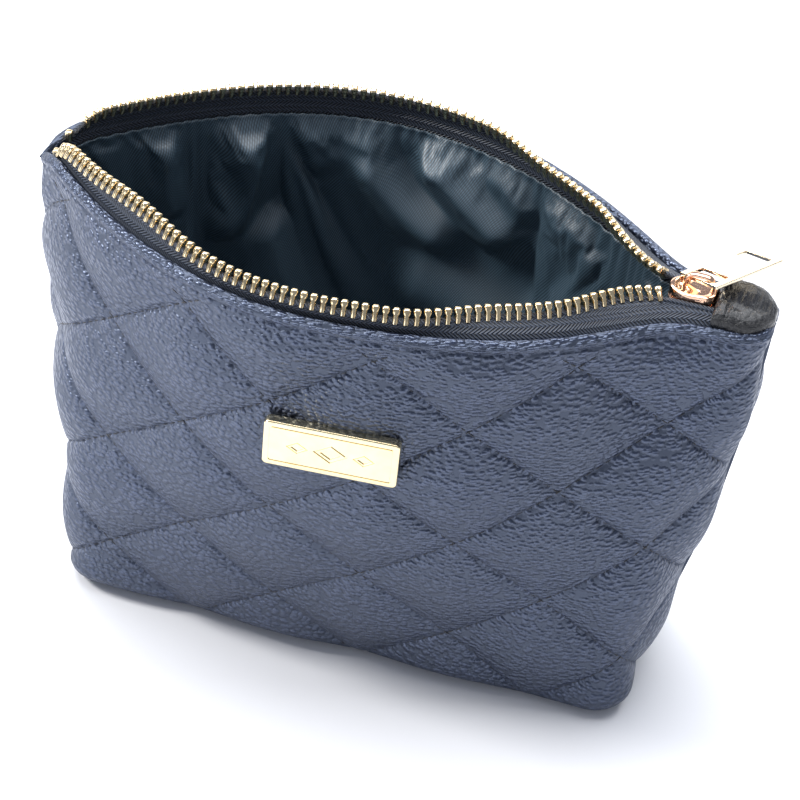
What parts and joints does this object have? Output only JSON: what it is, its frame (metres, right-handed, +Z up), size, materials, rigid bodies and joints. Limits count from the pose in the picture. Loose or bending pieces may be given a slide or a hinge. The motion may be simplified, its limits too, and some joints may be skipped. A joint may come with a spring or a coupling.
{
  "type": "quilted zip pouch",
  "caption": "Soft boxed pouch with padded quilted leather walls, satin lining, metal top zip with slider and plate pull, leather zip end tab and a plain metal nameplate.",
  "frame": {"origin": "centre of the base's underside, on the surface that the pouch stands on", "axes": "+X along the zip towards its closed end, -Y towards the front wall with the nameplate, +Z up"},
  "size_m": [0.194, 0.1039, 0.1342],
  "materials": {
    "leather": "pebbled, semi-gloss, quilted",
    "tab_leather": "smooth, creased, glossy",
    "wadding": "matt polyester wadding",
    "lining": "satin twill",
    "zip_tape": "herringbone woven tape",
    "zip_teeth": "polished gold",
    "slider_metal": "polished rose gold",
    "pull_metal": "polished pale gold",
    "plate_metal": "mirror gold, bevelled",
    "washer_steel": "plain"
  },
  "bodies": {
    "root": {"base_panel": "leather", "base_wadding": "wadding", "base_lining": "lining", "left_side_seam": "leather", "right_side_seam": "leather", "end_tab": "tab_leather", "bottom_stop": "zip_teeth", "front_top_stop": "zip_teeth", "back_top_stop": "zip_teeth"},
    "front_wall": {"front_panel": "leather", "front_wadding": "wadding", "front_lining": "lining", "front_tape": "zip_tape", "front_teeth": "zip_teeth", "nameplate": "plate_metal", "nameplate_washer": "washer_steel"},
    "back_wall": {"back_panel": "leather", "back_wadding": "wadding", "back_lining": "lining", "back_tape": "zip_tape", "back_teeth": "zip_teeth"},
    "slider": {"slider_body": "slider_metal", "slider_bridge": "slider_metal"},
    "pull": {"pull": "pull_metal"}
  },
  "joints": [
    {"name": "slider_slide", "type": "slide", "parent": "root", "child": "slider", "axis": [-0.9997, 0.0258, 0], "range_m": [0, 0.158]},
    {"name": "front_fold", "type": "hinge", "parent": "root", "child": "front_wall", "pos_m": [0, -0.028, 0], "axis": [-1, 0, 0], "range_deg": [0, 20], "deforming": ["front_panel", "front_wadding", "front_lining", "front_tape", "front_teeth"]},
    {"name": "back_fold", "type": "hinge", "parent": "root", "child": "back_wall", "pos_m": [0, 0.028, 0], "axis": [1, 0, 0], "range_deg": [0, 21.5], "deforming": ["back_panel", "back_wadding", "back_lining", "back_tape", "back_teeth"]},
    {"name": "pull_flip", "type": "hinge", "parent": "slider", "child": "pull", "pos_m": [0.0762, -0.004, 0.1312], "axis": [0.8209, -0.5177, 0.2411], "range_deg": [0, 155]}
  ],
  "couplings": [
    {"joint": "front_fold", "follows": "slider_slide", "rad_per_m": 2.1},
    {"joint": "back_fold", "follows": "slider_slide", "rad_per_m": 2.25}
  ]
}
